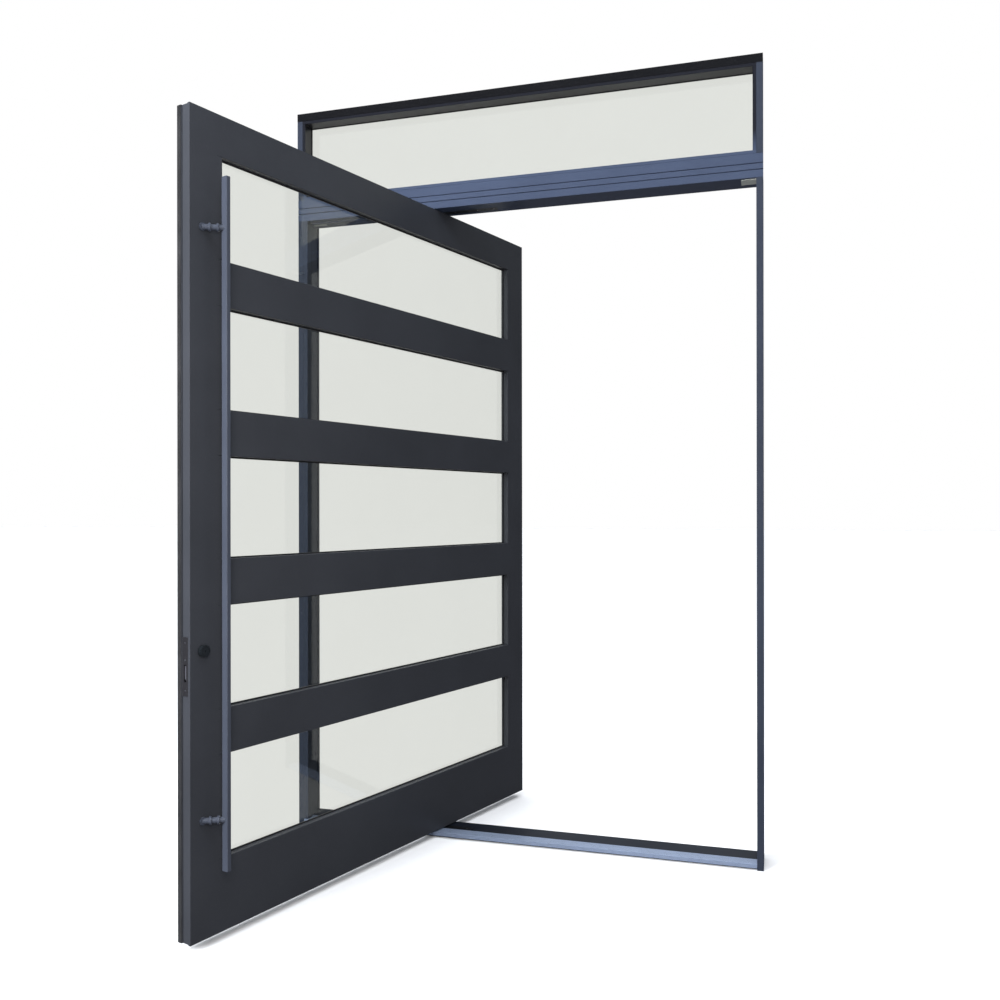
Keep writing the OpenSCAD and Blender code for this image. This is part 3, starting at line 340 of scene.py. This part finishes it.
FINISHES = {
    LEAF_COAT: ["lock_stile", "pivot_stile", "top_rail", "bottom_rail", "mid_rail_1", "mid_rail_2",
                "mid_rail_3", "mid_rail_4", "leaf_beads_horizontal", "leaf_beads_vertical"],
    HEAD_COAT_PAINTED_SHADE: ["frame_head"],
    JAMB_COAT: ["left_jamb", "right_jamb", "light_jambs", "heel_stop", "head_stop"],
    SLATE_COAT: ["transom_rail", "coupling_profile", "door_head"],
    BEAD_COAT: ["transom_beads_front", "transom_beads_rear"],
    HANDLE_COAT: ["handle_bar", "handle_posts"],
    LOCK_COAT: ["cylinder_collar", "cylinder_body", "cylinder_plug"],
    PLATE_COAT: ["lock_faceplate"],
    SILL_COAT: ["sill_profile"],
    TREAD_METAL: ["sill_tread"],
    STEEL: ["top_pivot_pin", "bottom_pivot_spindle", "handle_bolts", "top_pivot_socket",
            "bottom_pivot_shoe"],
    BOLT_STEEL: ["swing_bolt"],
    PLATE_STEEL: ["strike_plate", "top_pivot_plate", "bottom_pivot_plate"],
    CASE_STEEL: ["lock_case", "strike_box"],
    CLEAT_METAL: ["rail_cleats"],
    RUBBER: ["transom_gaskets", "stop_seals", "bead_side_gaskets", "lip_side_gaskets"],
    BLACK_PLASTIC: ["transom_setting_blocks", "leaf_setting_blocks"],
    PAD_PLASTIC: ["head_corner_pads"],
    PANE_GLASS: ["transom_glass", "glass_pane_1", "glass_pane_2", "glass_pane_3", "glass_pane_4",
                 "glass_pane_5"],
}


def dress(node_name, material):
    """Gives a construction node its finished material."""
    for material_slot in NODES[node_name].material_slots:
        material_slot.material = material


for finish, names in FINISHES.items():
    for node_name in names:
        dress(node_name, finish)


# ---------------------------------------------------------------- detail pieces

def solids_of(node_name, turn):
    """Low and high corners of each separate solid of a node, measured in the turned frame."""
    back = turn.inverted()
    mesh = bmesh.new()
    mesh.from_mesh(NODES[node_name].data)
    bmesh.ops.remove_doubles(mesh, verts=mesh.verts, dist=WELD)
    seen, boxes = set(), []
    for start in mesh.verts:
        if start in seen:
            continue
        stack, island = [start], []
        seen.add(start)
        while stack:
            vertex = stack.pop()
            island.append(back @ vertex.co)
            for edge in vertex.link_edges:
                other = edge.other_vert(vertex)
                if other not in seen:
                    seen.add(other)
                    stack.append(other)
        boxes.append((Vector(min(p[i] for p in island) for i in range(3)),
                      Vector(max(p[i] for p in island) for i in range(3))))
    mesh.free()
    return boxes


def new_piece(name, mesh, material, body, replaced=None):
    mesh.materials.clear()
    mesh.materials.append(material)
    piece = bpy.data.objects.new(name, mesh)
    bpy.context.scene.collection.objects.link(piece)
    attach(piece, body)
    if replaced:
        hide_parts(replaced)
    return piece


def new_tree(name, inputs):
    """An empty Geometry Nodes tree with a geometry in and out and named inputs (label, kind, default)."""
    tree = bpy.data.node_groups.new(name, "GeometryNodeTree")
    tree.interface.new_socket("Geometry", in_out="INPUT", socket_type="NodeSocketGeometry")
    for label, kind, default in inputs:
        socket = tree.interface.new_socket(label, in_out="INPUT", socket_type=kind)
        if default is not None:
            socket.default_value = default
    tree.interface.new_socket("Geometry", in_out="OUTPUT", socket_type="NodeSocketGeometry")
    return tree, tree.nodes.new("NodeGroupInput"), tree.nodes.new("NodeGroupOutput")


def run_tree(tree, mesh, values):
    """The plain mesh that a tree makes of this mesh with these input values."""
    carrier = bpy.data.objects.new("carrier", mesh)
    bpy.context.scene.collection.objects.link(carrier)
    modifier = carrier.modifiers.new("tree", "NODES")
    modifier.node_group = tree
    for item in tree.interface.items_tree:
        if item.item_type == "SOCKET" and item.in_out == "INPUT" and item.name in values:
            modifier[item.identifier] = values[item.name]
    result = bpy.data.meshes.new_from_object(
        carrier.evaluated_get(bpy.context.evaluated_depsgraph_get()))
    bpy.data.objects.remove(carrier)
    return result


def recessed_screw_tree():
    """A pan head with a cross recess and its shank, set on each point along the point's facing."""
    tree, put, out = new_tree("recessed_screws", [
        ("Head Radius", FLOAT, 0.004), ("Head Height", FLOAT, 0.0015), ("Shank Radius", FLOAT, 0.002),
        ("Length", FLOAT, 0.012), ("Recess Width", FLOAT, 0.0009), ("Recess Depth", FLOAT, 0.0009),
        ("Material", MATERIAL_SOCKET, None)])
    radius, height = put.outputs["Head Radius"], put.outputs["Head Height"]
    length, depth = put.outputs["Length"], put.outputs["Recess Depth"]
    head = add(tree, "GeometryNodeMeshCone", Vertices=28, Radius_Bottom=radius, Depth=height)
    link(tree, maths(tree, "MULTIPLY", radius, 0.84), head.inputs["Radius Top"])
    sunk = add(tree, "ShaderNodeCombineXYZ", Z=maths(tree, "MULTIPLY", height, -1.0))
    placed_head = add(tree, "GeometryNodeTransform", Geometry=head.outputs[0],
                      Translation=sunk.outputs[0])
    arms = tree.nodes.new("GeometryNodeJoinGeometry")
    arm_length = maths(tree, "MULTIPLY", radius, 1.15)
    for turn in (0.0, math.pi / 2):
        size = add(tree, "ShaderNodeCombineXYZ", X=arm_length, Y=put.outputs["Recess Width"],
                   Z=maths(tree, "MULTIPLY", depth, 2.0))
        cube = add(tree, "GeometryNodeMeshCube", Size=size.outputs[0])
        turned = add(tree, "GeometryNodeTransform", Geometry=cube.outputs[0], Rotation=(0, 0, turn))
        link(tree, turned.outputs[0], arms.inputs[0])
    cut = tree.nodes.new("GeometryNodeMeshBoolean")
    cut.operation = "DIFFERENCE"
    cut.solver = "EXACT"
    link(tree, placed_head.outputs[0], cut.inputs["Mesh 1"])
    link(tree, arms.outputs[0], cut.inputs["Mesh 2"])
    cut.inputs["Self Intersection"].default_value = True
    shank = add(tree, "GeometryNodeMeshCylinder", Vertices=16, Radius=put.outputs["Shank Radius"])
    shank_length = maths(tree, "SUBTRACT", length, height)
    link(tree, shank_length, shank.inputs["Depth"])
    middle = maths(tree, "ADD", maths(tree, "MULTIPLY", shank_length, 0.5), height)
    drop = add(tree, "ShaderNodeCombineXYZ", Z=maths(tree, "MULTIPLY", middle, -1.0))
    placed_shank = add(tree, "GeometryNodeTransform", Geometry=shank.outputs[0],
                       Translation=drop.outputs[0])
    whole = tree.nodes.new("GeometryNodeJoinGeometry")
    link(tree, cut.outputs["Mesh"], whole.inputs[0])
    link(tree, placed_shank.outputs[0], whole.inputs[0])
    facing = add(tree, "GeometryNodeInputNamedAttribute", data_type="FLOAT_VECTOR", Name="facing")
    aim = add(tree, "FunctionNodeAlignRotationToVector", axis="Z", Vector=facing.outputs[0])
    copies = add(tree, "GeometryNodeInstanceOnPoints", Points=put.outputs["Geometry"],
                 Instance=whole.outputs[0], Rotation=aim.outputs[0])
    real = add(tree, "GeometryNodeRealizeInstances", Geometry=copies.outputs[0])
    finish = add(tree, "GeometryNodeSetMaterial", Geometry=real.outputs[0],
                 Material=put.outputs["Material"])
    link(tree, finish.outputs[0], out.inputs["Geometry"])
    return tree


RECESSED_SCREWS = recessed_screw_tree()


# Head radius, head height and shank radius of each kind of screw
FRAME_SCREW = (0.005, 0.0018, 0.0025)
PLATE_SCREW = (0.004, 0.0015, 0.002)


def drive_screws(name, node_name, body, turn, heads, size):
    """Replaces a node of plain screws; heads maps a solid's box to its head's centre and outward way."""
    head_radius, head_height, shank_radius = size
    boxes = solids_of(node_name, turn)
    places = [heads(low, high) for low, high in boxes]
    mesh = bpy.data.meshes.new(name + "_points")
    mesh.from_pydata([turn @ place for place, way in places], [], [])
    ways = mesh.attributes.new("facing", "FLOAT_VECTOR", "POINT")
    for item, (place, way) in zip(ways.data, places):
        item.vector = turn.to_3x3() @ way
    length = max(boxes[0][1] - boxes[0][0])
    result = run_tree(RECESSED_SCREWS, mesh, {
        "Head Radius": head_radius, "Head Height": head_height, "Shank Radius": shank_radius,
        "Length": length, "Recess Width": head_radius * 0.24, "Recess Depth": head_height * 0.62,
        "Material": SCREW_STEEL})
    return new_piece(name, result, SCREW_STEEL, body, node_name)


def frame_screw_head(low, high):
    """Sill screws lie along X with heads outwards; rail screws face down, the others up."""
    middle, size = (low + high) / 2, high - low
    if size.x > size.z:
        side = math.copysign(1.0, middle.x)
        return Vector((high.x if side > 0 else low.x, middle.y, middle.z)), Vector((side, 0, 0))
    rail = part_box("transom_rail")
    if abs(low.z - rail[0][2]) < SAME_LEVEL:
        return Vector((middle.x, middle.y, low.z)), Vector((0, 0, -1))
    return Vector((middle.x, middle.y, high.z)), Vector((0, 0, 1))


def plate_screw_head(low, high):
    """Screws of the strike face the opening; those of the pivot plates face the leaf."""
    middle, size = (low + high) / 2, high - low
    if size.x > size.z:
        return Vector((low.x, middle.y, middle.z)), Vector((-1, 0, 0))
    if middle.z > MID_LEVEL:
        return Vector((middle.x, middle.y, low.z)), Vector((0, 0, -1))
    return Vector((middle.x, middle.y, high.z)), Vector((0, 0, 1))


def faceplate_screw_head(low, high):
    middle = (low + high) / 2
    return Vector((high.x, middle.y, middle.z)), Vector((1, 0, 0))


def pile_tree():
    """Rows of bristles that stand on a strip, each leaning a little its own way."""
    tree, put, out = new_tree("brush_pile", [
        ("Length", FLOAT, 1.0), ("Width", FLOAT, 0.003), ("Height", FLOAT, 0.006),
        ("Pitch", FLOAT, 0.002), ("Rows", WHOLE, 4), ("Thickness", FLOAT, 0.0005),
        ("Lean", FLOAT, 0.12), ("Seed", WHOLE, 5), ("Material", MATERIAL_SOCKET, None)])
    count = maths(tree, "DIVIDE", put.outputs["Length"], put.outputs["Pitch"])
    grid = add(tree, "GeometryNodeMeshGrid", Size_X=put.outputs["Length"], Size_Y=put.outputs["Width"],
               Vertices_Y=put.outputs["Rows"])
    link(tree, count, grid.inputs["Vertices X"])
    hair = add(tree, "GeometryNodeMeshCone", Vertices=4, Radius_Bottom=put.outputs["Thickness"],
               Depth=put.outputs["Height"])
    link(tree, maths(tree, "MULTIPLY", put.outputs["Thickness"], 0.6), hair.inputs["Radius Top"])
    lean = maths(tree, "MULTIPLY", put.outputs["Lean"], -1.0)
    low = add(tree, "ShaderNodeCombineXYZ", X=lean, Y=lean, Z=-3.0)
    high = add(tree, "ShaderNodeCombineXYZ", X=put.outputs["Lean"], Y=put.outputs["Lean"], Z=3.0)
    tilt = tree.nodes.new("FunctionNodeRandomValue")
    tilt.data_type = "FLOAT_VECTOR"
    link(tree, low.outputs[0], tilt.inputs[0])
    link(tree, high.outputs[0], tilt.inputs[1])
    link(tree, put.outputs["Seed"], tilt.inputs["Seed"])
    copies = add(tree, "GeometryNodeInstanceOnPoints", Points=grid.outputs[0], Instance=hair.outputs[0])
    link(tree, tilt.outputs[0], copies.inputs["Rotation"])
    real = add(tree, "GeometryNodeRealizeInstances", Geometry=copies.outputs[0])
    finish = add(tree, "GeometryNodeSetMaterial", Geometry=real.outputs[0],
                 Material=put.outputs["Material"])
    link(tree, finish.outputs[0], out.inputs["Geometry"])
    return tree


def add_block(mesh, low, high, turn):
    """Adds a closed block between two corners of the turned frame."""
    corners = [turn @ Vector((x, y, z)) for z in (low[2], high[2])
               for x, y in ((low[0], low[1]), (high[0], low[1]), (high[0], high[1]), (low[0], high[1]))]
    verts = [mesh.verts.new(corner) for corner in corners]
    for face in ((3, 2, 1, 0), (4, 5, 6, 7), (0, 1, 5, 4), (1, 2, 6, 5), (2, 3, 7, 6), (3, 0, 4, 7)):
        mesh.faces.new([verts[i] for i in face])


def weave_brushes():
    """Brush seals of the rails: a backing strip in its groove with a pile of bristles."""
    tree = pile_tree()
    backing, margin, hair, end_gap = 0.0035, 0.0008, 0.0005, 0.004
    whole = bmesh.new()
    for low, high in solids_of("rail_brush_seals", LEAF):
        up = low.z > MID_LEVEL
        root, tip = (low.z, high.z) if up else (high.z, low.z)
        sign = 1.0 if up else -1.0
        levels = sorted((root, root + sign * backing))
        add_block(whole, (low.x, low.y + margin / 2, levels[0]), (high.x, high.y - margin / 2, levels[1]),
                  LEAF)
        height = abs(tip - root) - backing - hair
        rows = run_tree(tree, bpy.data.meshes.new("strip"), {
            "Length": high.x - low.x - end_gap, "Width": high.y - low.y - 3 * margin, "Height": height,
            "Thickness": hair, "Material": PILE, "Seed": 5 if up else 9})
        flip = STILL if up else Matrix.Rotation(math.pi, 4, "X")
        middle = Vector(((low.x + high.x) / 2, (low.y + high.y) / 2, root + sign * backing))
        rows.transform(LEAF @ Matrix.Translation(middle) @ flip)
        whole.from_mesh(rows)
    mesh = bpy.data.meshes.new("rail_brushes")
    whole.to_mesh(mesh)
    whole.free()
    return new_piece("rail_brushes", mesh, PILE, "leaf", "rail_brush_seals")


def extrude_outline(mesh, outline, z0, z1, turn):
    """Adds a closed bar of this outline, drawn anticlockwise, between two levels."""
    low = [mesh.verts.new(turn @ Vector((x, y, z0))) for x, y in outline]
    high = [mesh.verts.new(turn @ Vector((x, y, z1))) for x, y in outline]
    count = len(outline)
    for i in range(count):
        j = (i + 1) % count
        mesh.faces.new((low[i], low[j], high[j], high[i]))
    mesh.faces.new(low[::-1])
    mesh.faces.new(high)


def ribbed_outline(low, high, outwards, ribs=4, steps=6):
    """Section of an edge seal: flat on the leaf, with round ribs on its outer side."""
    base_x, tip_x = (low.x, high.x) if outwards > 0 else (high.x, low.x)
    valley_x = base_x + (tip_x - base_x) * 0.55
    pitch = (high.y - low.y) / ribs
    points = [(base_x, low.y), (valley_x, low.y)]
    for rib in range(ribs):
        for step in range(1, steps + 1):
            share = step / steps
            points.append((valley_x + (tip_x - valley_x) * math.sin(math.pi * share),
                           low.y + pitch * (rib + share)))
    points.append((base_x, high.y))
    return points if outwards > 0 else points[::-1]


def draw_edge_seals():
    whole = bmesh.new()
    for low, high in solids_of("edge_seals", LEAF):
        outwards = math.copysign(1.0, low.x + high.x)
        extrude_outline(whole, ribbed_outline(low, high, outwards), low.z, high.z, LEAF)
    bmesh.ops.recalc_face_normals(whole, faces=whole.faces)
    mesh = bpy.data.meshes.new("ribbed_edge_seals")
    whole.to_mesh(mesh)
    whole.free()
    return new_piece("ribbed_edge_seals", mesh, EDGE_RUBBER, "leaf", "edge_seals")


def set_cylinder_screw(level=0.8776, radius=0.0032, head=0.0006):
    """The grub screw in the faceplate that holds the lock cylinder."""
    low, high = solids_of("lock_faceplate", LEAF)[0]
    mesh = bpy.data.meshes.new("cylinder_screw_point")
    mesh.from_pydata([LEAF @ Vector((high.x + head, (low.y + high.y) / 2, level))], [], [])
    way = mesh.attributes.new("facing", "FLOAT_VECTOR", "POINT")
    way.data[0].vector = LEAF.to_3x3() @ Vector((1, 0, 0))
    result = run_tree(RECESSED_SCREWS, mesh, {
        "Head Radius": radius, "Head Height": head, "Shank Radius": radius / 2, "Length": 0.003,
        "Recess Width": radius * 0.3, "Recess Depth": head * 0.8, "Material": SCREW_STEEL})
    return new_piece("cylinder_screw", result, SCREW_STEEL, "leaf")


draw_edge_seals()
weave_brushes()
set_cylinder_screw()
drive_screws("frame_screw_set", "frame_screws", "frame", STILL, frame_screw_head, FRAME_SCREW)
drive_screws("plate_screw_set", "plate_screws", "frame", STILL, plate_screw_head, PLATE_SCREW)
drive_screws("faceplate_screw_set", "faceplate_screws", "leaf", LEAF, faceplate_screw_head, PLATE_SCREW)


# ---------------------------------------------------------------- floor, light and camera

WHITE = (1.0, 1.0, 1.0, 1.0)
COOL_DAYLIGHT = (0.84, 0.9, 1.0, 1.0)
# The world is dim on this side of the door, so that the coating isn't lit evenly all round
DIM_SIDE = (0.79, 0.61, 0.0)


def lay_floor():
    """White to the eye and through glass, and dull to what the coating mirrors."""
    mesh = bpy.data.meshes.new("floor")
    size = 60.0
    mesh.from_pydata([(-size, -size, 0), (size, -size, 0), (size, size, 0), (-size, size, 0)], [],
                     [(0, 1, 2, 3)])
    floor = bpy.data.objects.new("floor", mesh)
    bpy.context.scene.collection.objects.link(floor)
    material, tree, shader, where = new_material("floor_plaster")
    grain = add(tree, "ShaderNodeTexNoise", Vector=where, Scale=40.0, Detail=4.0)
    link(tree, blend_colours(tree, grain.outputs[0], (0.88, 0.88, 0.88, 1), (0.92, 0.92, 0.92, 1)),
         shader.inputs["Base Color"])
    shader.inputs["Roughness"].default_value = 0.9
    shader.inputs["Specular IOR Level"].default_value = 0.1
    dull = add(tree, "ShaderNodeBsdfDiffuse", Color=(0.1, 0.1, 0.11, 1))
    white = add(tree, "ShaderNodeEmission", Color=WHITE, Strength=1.0)
    path = tree.nodes.new("ShaderNodeLightPath")
    seen = pick_shader(tree, path.outputs["Is Camera Ray"], dull.outputs[0], shader.outputs[0])
    through = pick_shader(tree, path.outputs["Is Transmission Ray"], seen, white.outputs[0])
    link(tree, through, tree.nodes["Material Output"].inputs["Surface"])
    mesh.materials.append(material)


def light_world():
    """White all round to the eye and through glass; what lights the coating has one dim side."""
    world = bpy.data.worlds.new("studio")
    bpy.context.scene.world = world
    world.use_nodes = True
    tree = world.node_tree
    tree.nodes.clear()
    out = tree.nodes.new("ShaderNodeOutputWorld")
    seen = add(tree, "ShaderNodeBackground", Color=WHITE, Strength=1.0)
    way = tree.nodes.new("ShaderNodeTexCoord").outputs["Generated"]
    towards = add(tree, "ShaderNodeVectorMath", operation="DOT_PRODUCT")
    link(tree, way, towards.inputs[0])
    towards.inputs[1].default_value = DIM_SIDE
    strength = spread(tree, towards.outputs["Value"], 0.86, 1.0, 0.5, 0.06)
    lit = add(tree, "ShaderNodeBackground", Color=COOL_DAYLIGHT, Strength=strength)
    path = tree.nodes.new("ShaderNodeLightPath")
    share = maths(tree, "MAXIMUM", path.outputs["Is Camera Ray"], path.outputs["Is Transmission Ray"])
    link(tree, pick_shader(tree, share, lit.outputs[0], seen.outputs[0]), out.inputs[0])


def hide_lamp(lamp):
    """The lamp lights things but shows neither to the eye nor in glass."""
    lamp.visible_camera = False
    lamp.visible_glossy = False
    lamp.visible_transmission = False


def hang_lamp(name, place, aim, width, height, power, colour=(1, 1, 1)):
    lamp = bpy.data.lights.new(name, "AREA")
    lamp.shape = "RECTANGLE"
    lamp.size = width
    lamp.size_y = height
    lamp.energy = power
    lamp.color = colour
    thing = bpy.data.objects.new(name, lamp)
    bpy.context.scene.collection.objects.link(thing)
    thing.location = place
    thing.rotation_euler = (Vector(aim) - Vector(place)).to_track_quat("-Z", "Y").to_euler()
    hide_lamp(thing)
    return thing


def hang_sun(strength, spread_degrees):
    """Even light from straight above, which keeps the floor white as far as it runs."""
    lamp = bpy.data.lights.new("overhead", "SUN")
    lamp.energy = strength
    lamp.angle = math.radians(spread_degrees)
    thing = bpy.data.objects.new("overhead", lamp)
    bpy.context.scene.collection.objects.link(thing)
    hide_lamp(thing)
    return thing


CAMERA_PLACE = (0.9922, -3.5751, 1.3252)
CAMERA_ANGLES = (16.09, 0.02, -0.07)  # yaw, pitch and roll in degrees


def set_camera():
    yaw, pitch, roll = (math.radians(angle) for angle in CAMERA_ANGLES)
    data = bpy.data.cameras.new("camera")
    data.sensor_width = 36.0
    data.lens = 33.22
    data.shift_x = -0.0093
    data.shift_y = 0.0096
    data.clip_end = 200.0
    camera = bpy.data.objects.new("camera", data)
    bpy.context.scene.collection.objects.link(camera)
    turn = Matrix.Rotation(yaw, 4, "Z") @ Matrix.Rotation(math.pi / 2 + pitch, 4, "X")
    camera.matrix_world = (Matrix.Translation(CAMERA_PLACE) @ turn
                           @ Matrix.Rotation(roll, 4, "Z"))
    bpy.context.scene.camera = camera


lay_floor()
light_world()
hang_lamp("key", (-3.0, -5.4, 2.9), (-0.5, -0.5, 1.3), 2.6, 2.6, 600, (0.92, 0.95, 1.0))
hang_lamp("face", (0.6, -3.1, 1.7), (-0.7, -1.1, 1.3), 1.0, 1.8, 60, (1.0, 0.98, 0.96))
hang_lamp("head", (0.5, -2.2, 4.2), (0.4, 0.0, 2.7), 2.6, 0.8, 40, (0.8, 0.88, 1.0))
hang_sun(2.3, 70.0)
set_camera()
bpy.context.scene.view_settings.view_transform = "Standard"
